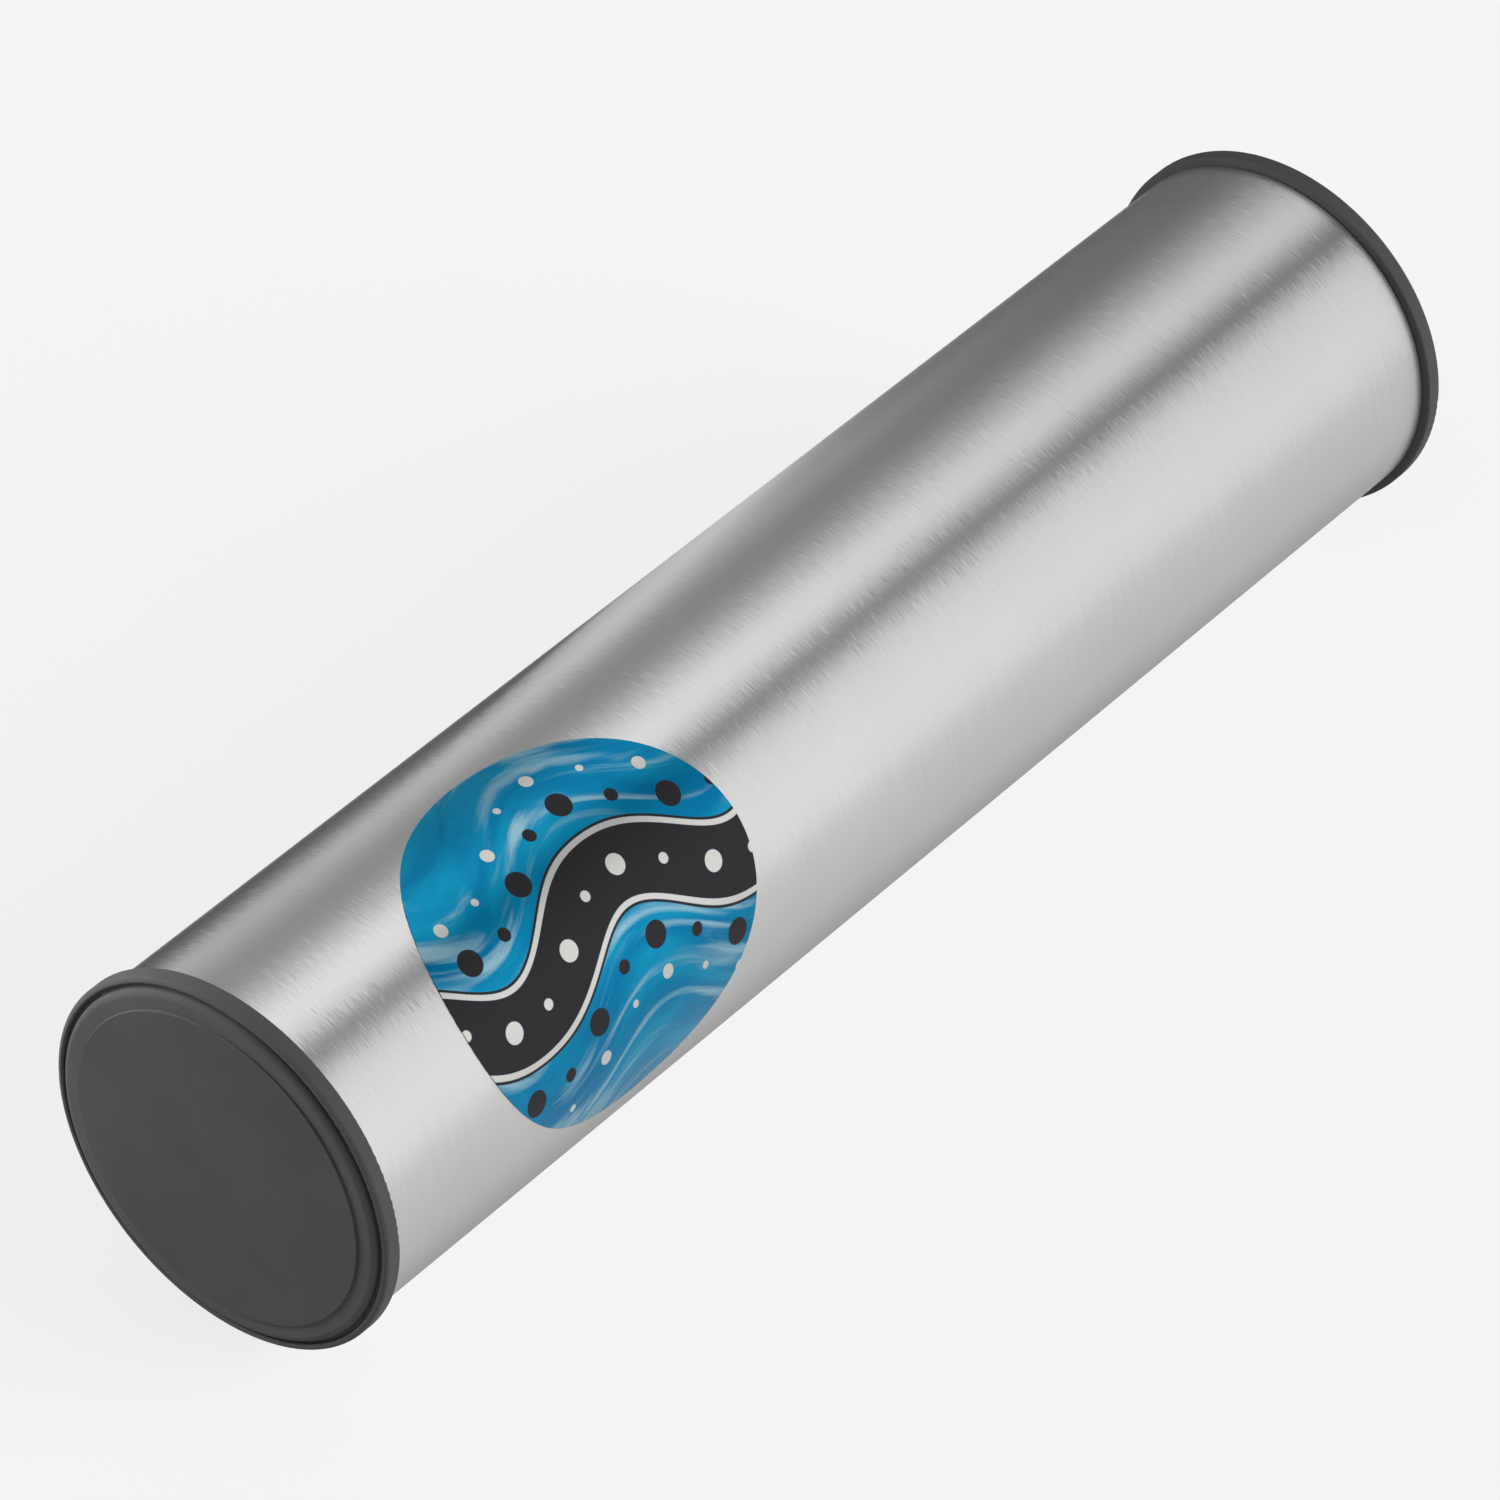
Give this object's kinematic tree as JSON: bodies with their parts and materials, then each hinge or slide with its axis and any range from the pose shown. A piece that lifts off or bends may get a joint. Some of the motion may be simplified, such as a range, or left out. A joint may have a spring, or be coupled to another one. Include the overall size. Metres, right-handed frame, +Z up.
{
  "type": "ganza shaker",
  "caption": "Round metal tube shaker with a rubber plug cap pressed into each end, a round label near one end and loose steel shot inside.",
  "frame": {"origin": "on the surface that the shaker lies on, straight under the middle of its tube", "axes": "+X along the tube, from the cap by the label to the other cap; +Z up; the label faces -Y and up"},
  "size_m": [0.2094, 0.0502, 0.0502],
  "materials": {
    "brushed_tube": "brushed round the tube",
    "cap_rubber": "matt moulded",
    "label_vinyl": "satin printed vinyl",
    "steel_shot": "polished"
  },
  "bodies": {
    "barrel": {"tube": "brushed_tube", "label": "label_vinyl"},
    "near_cap": {"near_cap": "cap_rubber"},
    "far_cap": {"far_cap": "cap_rubber"},
    "shot_low": {"shot_low": "steel_shot"},
    "shot_middle": {"shot_middle": "steel_shot"},
    "shot_near": {"shot_near": "steel_shot"},
    "shot_far": {"shot_far": "steel_shot"}
  },
  "joints": [
    {"name": "near_cap_pull", "type": "slide", "parent": "barrel", "child": "near_cap", "axis": [-1, 0, 0], "range_m": [0, 0.03]},
    {"name": "far_cap_pull", "type": "slide", "parent": "barrel", "child": "far_cap", "axis": [1, 0, 0], "range_m": [0, 0.03]},
    {"name": "shot_run", "type": "slide", "parent": "barrel", "child": "shot_low", "axis": [1, 0, 0], "range_m": [-0.036, 0.036]},
    {"name": "shot_swirl", "type": "hinge", "parent": "shot_low", "child": "shot_middle", "pos_m": [0, 0, 0.0251], "axis": [1, 0, 0], "continuous": true},
    {"name": "shot_near_spread", "type": "slide", "parent": "shot_middle", "child": "shot_near", "axis": [-1, 0, 0], "range_m": [-0.0057, 0.008]},
    {"name": "shot_far_spread", "type": "slide", "parent": "shot_middle", "child": "shot_far", "axis": [1, 0, 0], "range_m": [-0.0057, 0.008]}
  ]
}
